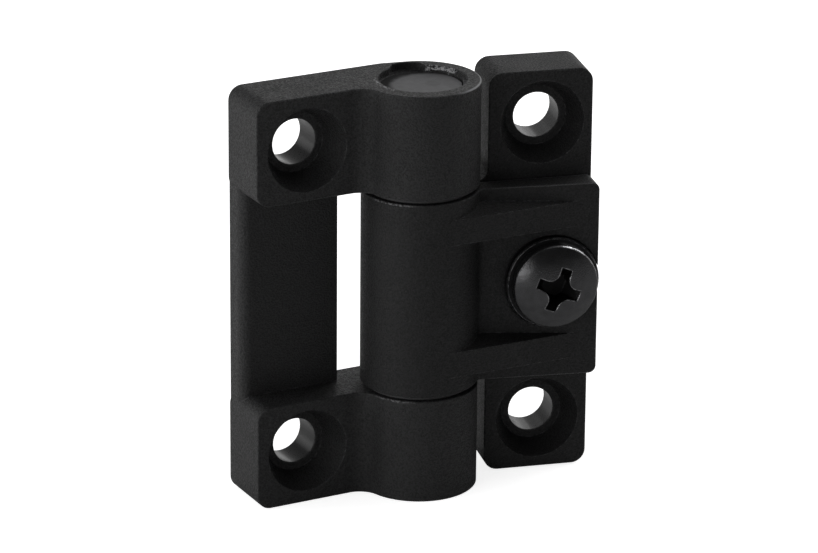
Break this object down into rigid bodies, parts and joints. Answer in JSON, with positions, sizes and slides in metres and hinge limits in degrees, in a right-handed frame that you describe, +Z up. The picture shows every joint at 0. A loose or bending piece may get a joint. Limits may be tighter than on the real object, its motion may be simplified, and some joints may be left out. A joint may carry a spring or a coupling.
{
  "type": "torque hinge",
  "caption": "Adjustable torque hinge: a C-shaped leaf holds a pin that the other leaf's split band grips, with a cross-recessed screw that sets the friction.",
  "frame": {"origin": "on the mounting plane, midway between the yoke leaf's two screw holes", "axes": "+Z up along the pin's axis, +X from the yoke leaf towards the clamp leaf, +Y from the screw's side into the mounting surface"},
  "size_m": [0.0431, 0.0177, 0.05],
  "materials": {
    "leaf_plastic": "black glass-filled moulding with a fine matte grain",
    "dark_steel": "dark oxide, dull",
    "washer_plastic": "plain",
    "screw_steel": "black oxide, half gloss",
    "nut_steel": "zinc plated"
  },
  "bodies": {
    "yoke": {"yoke_leaf": "leaf_plastic", "hinge_pin": "dark_steel", "thrust_washer_upper": "washer_plastic", "thrust_washer_lower": "washer_plastic"},
    "clamp": {"clamp_leaf": "leaf_plastic", "clamp_nut": "nut_steel"},
    "washer": {"screw_washer": "screw_steel"},
    "screw": {"adjusting_screw": "screw_steel"}
  },
  "joints": [
    {"name": "leaf_swing", "type": "hinge", "parent": "yoke", "child": "clamp", "pos_m": [0.0147, -0.00745, 0], "axis": [0, 0, 1], "range_deg": [-152, 104]},
    {"name": "screw_travel", "type": "slide", "parent": "clamp", "child": "washer", "axis": [-0.2402, -0.9707, 0], "range_m": [0, 0.0008]},
    {"name": "screw_turn", "type": "hinge", "parent": "washer", "child": "screw", "pos_m": [0.0295, -0.01111, 0], "axis": [-0.2402, -0.9707, 0], "range_deg": [0, 360]}
  ],
  "couplings": [
    {"joint": "screw_turn", "follows": "screw_travel", "rad_per_m": 7854}
  ]
}
